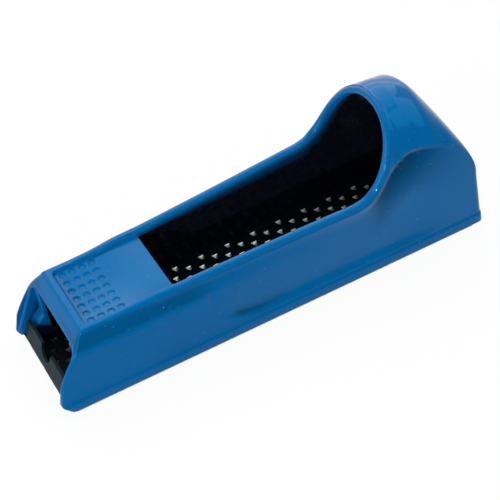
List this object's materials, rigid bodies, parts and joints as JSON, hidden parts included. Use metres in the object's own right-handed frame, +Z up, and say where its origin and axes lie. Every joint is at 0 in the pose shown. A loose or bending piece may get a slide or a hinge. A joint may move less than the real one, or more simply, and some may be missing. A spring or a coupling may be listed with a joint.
{
  "type": "rasp plane",
  "caption": "Palm-sized rasp plane: open cast body with a dimpled thumb pad and a palm hood, holding a perforated rasp blade that a tension screw pulls tight.",
  "frame": {"origin": "centre of the footprint, level with the tooth tips that the tool rests on", "axes": "+X along the tool from the toe to the heel, +Y across it, +Z up out of the work"},
  "size_m": [0.158, 0.042, 0.0564],
  "materials": {
    "paint": "glossy mid blue stoved enamel over a metal casting",
    "blade_steel": "blued, lightly oiled hardened sheet steel",
    "dark_steel": "plain dark pressed steel",
    "zinc_steel": "bright zinc plated steel"
  },
  "bodies": {
    "casting": {"body_casting": "paint"},
    "blade": {"rasp_blade": "blade_steel"},
    "hook": {"tension_hook": "dark_steel", "square_nut": "zinc_steel"},
    "screw": {"tension_screw": "zinc_steel", "screw_washer": "zinc_steel"}
  },
  "joints": [
    {"name": "screw_turn", "type": "hinge", "parent": "casting", "child": "screw", "pos_m": [0.0755, 0, 0.0135], "axis": [1, 0, 0], "range_deg": [0, 1350]},
    {"name": "hook_slide", "type": "slide", "parent": "casting", "child": "hook", "axis": [-1, 0, 0], "range_m": [0, 0.003]},
    {"name": "blade_removal", "type": "slide", "parent": "casting", "child": "blade", "axis": [0, 0, -1], "range_m": [0, 0.025]}
  ],
  "couplings": [
    {"joint": "screw_turn", "follows": "hook_slide", "rad_per_m": 7854}
  ]
}
